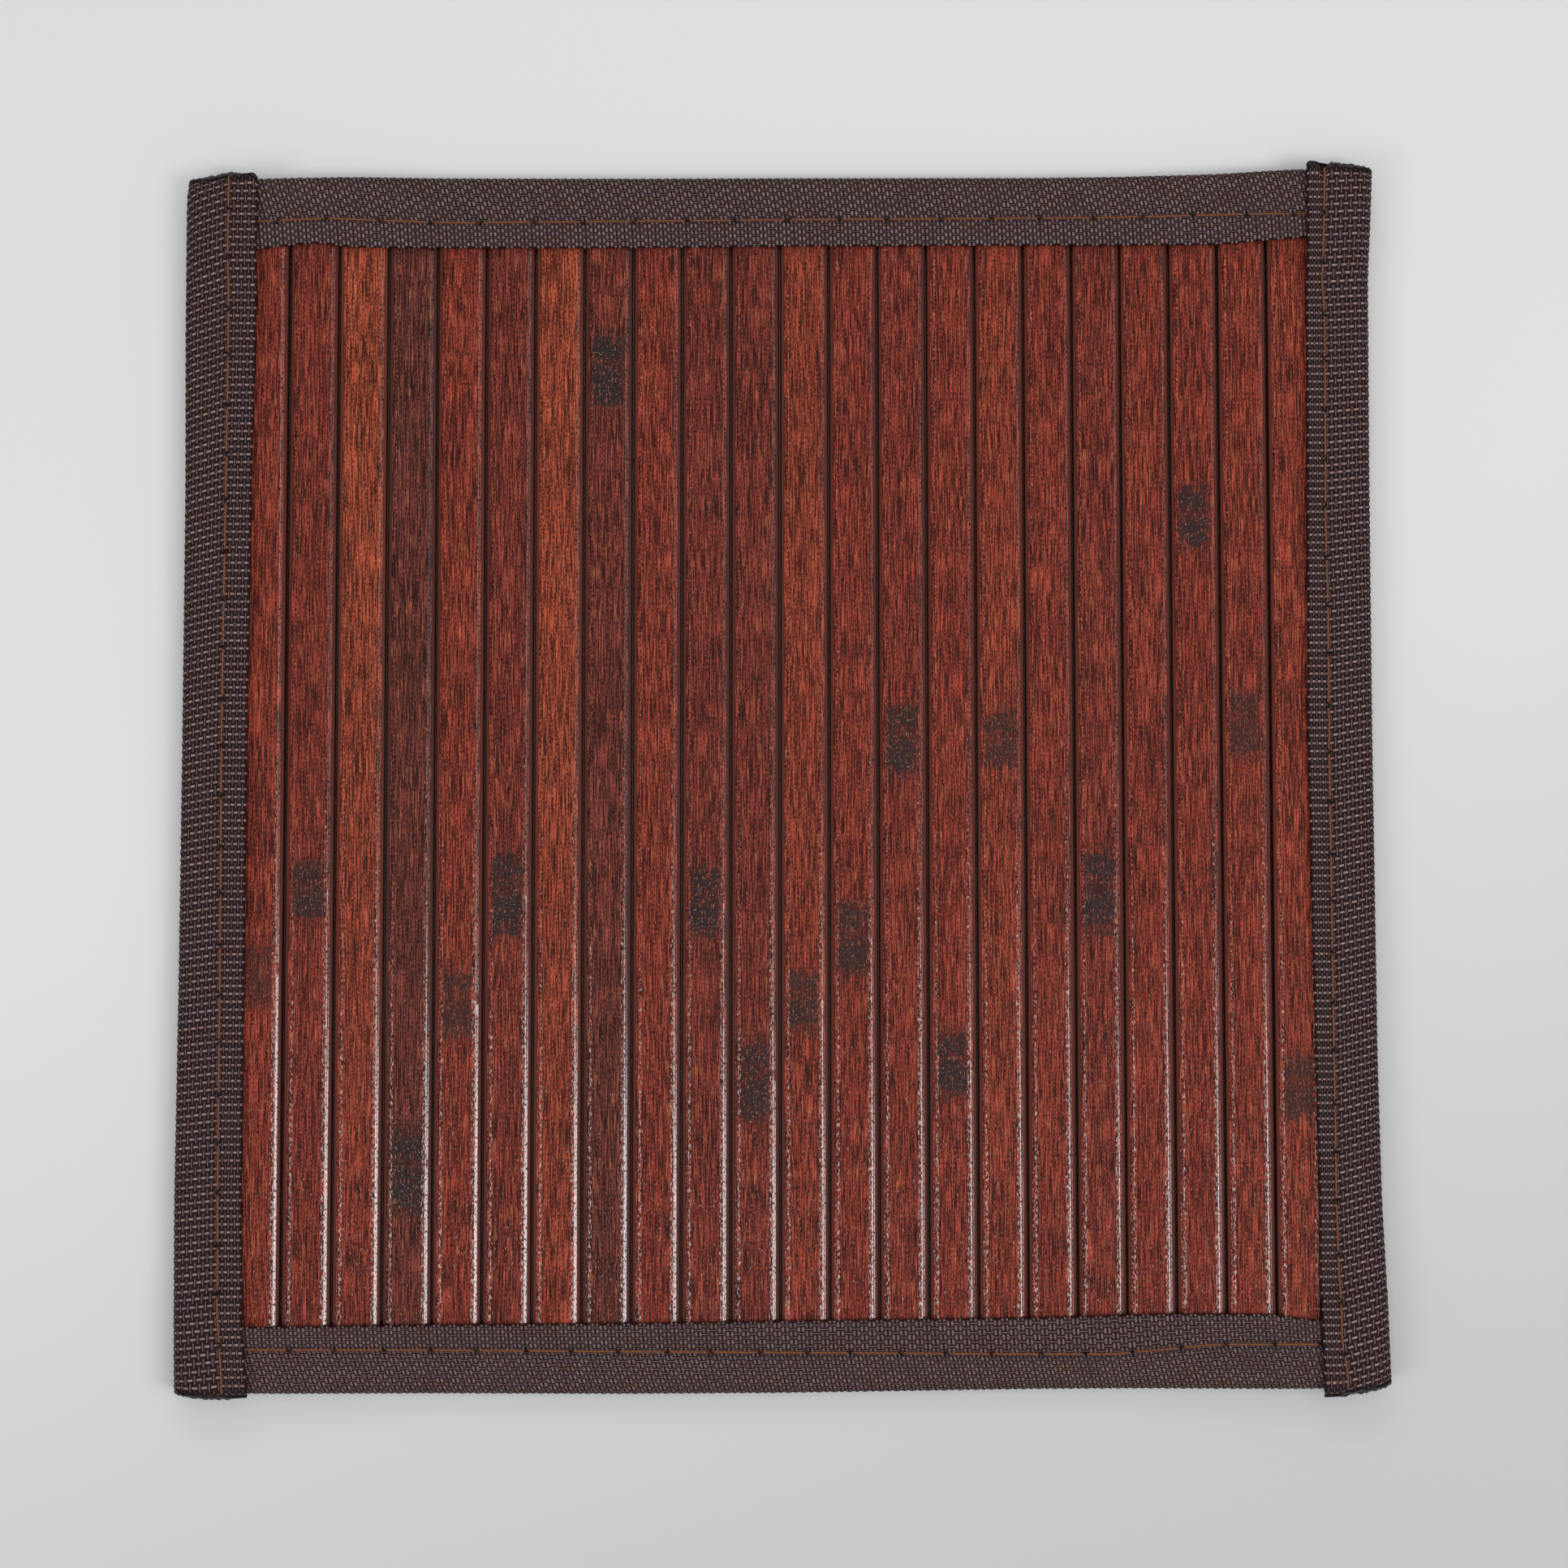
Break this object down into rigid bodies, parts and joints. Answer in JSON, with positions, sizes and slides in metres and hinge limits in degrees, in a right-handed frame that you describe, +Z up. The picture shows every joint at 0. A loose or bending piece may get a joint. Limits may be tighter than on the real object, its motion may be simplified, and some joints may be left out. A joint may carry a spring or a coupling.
{
  "type": "bamboo trivet",
  "caption": "Flat square trivet of stained bamboo slats, bound on all four edges with folded, stitched woven tape.",
  "frame": {"origin": "middle of the mat's outline, on the surface that it rests on", "axes": "+Z up out of the slats' shaped faces, +Y along the slats towards the back tape, +X across the slats to the right"},
  "size_m": [0.1996, 0.205, 0.0068],
  "materials": {
    "bamboo": "red-brown stain, satin, with fine lengthwise grain, node marks and smooth rounded shoulders",
    "webbing": "dark brown plain-woven tape, matte"
  },
  "bodies": {
    "root": {"slat_01": "bamboo", "slat_02": "bamboo", "slat_03": "bamboo", "slat_04": "bamboo", "slat_05": "bamboo", "slat_06": "bamboo", "slat_07": "bamboo", "slat_08": "bamboo", "slat_09": "bamboo", "slat_10": "bamboo", "slat_11": "bamboo", "slat_12": "bamboo", "slat_13": "bamboo", "slat_14": "bamboo", "slat_15": "bamboo", "slat_16": "bamboo", "slat_17": "bamboo", "slat_18": "bamboo", "slat_19": "bamboo", "slat_20": "bamboo", "slat_21": "bamboo", "slat_22": "bamboo", "slat_23": "bamboo", "slat_24": "bamboo", "tape_left": "webbing", "tape_right": "webbing", "tape_top": "webbing", "tape_bottom": "webbing"}
  },
  "joints": []
}
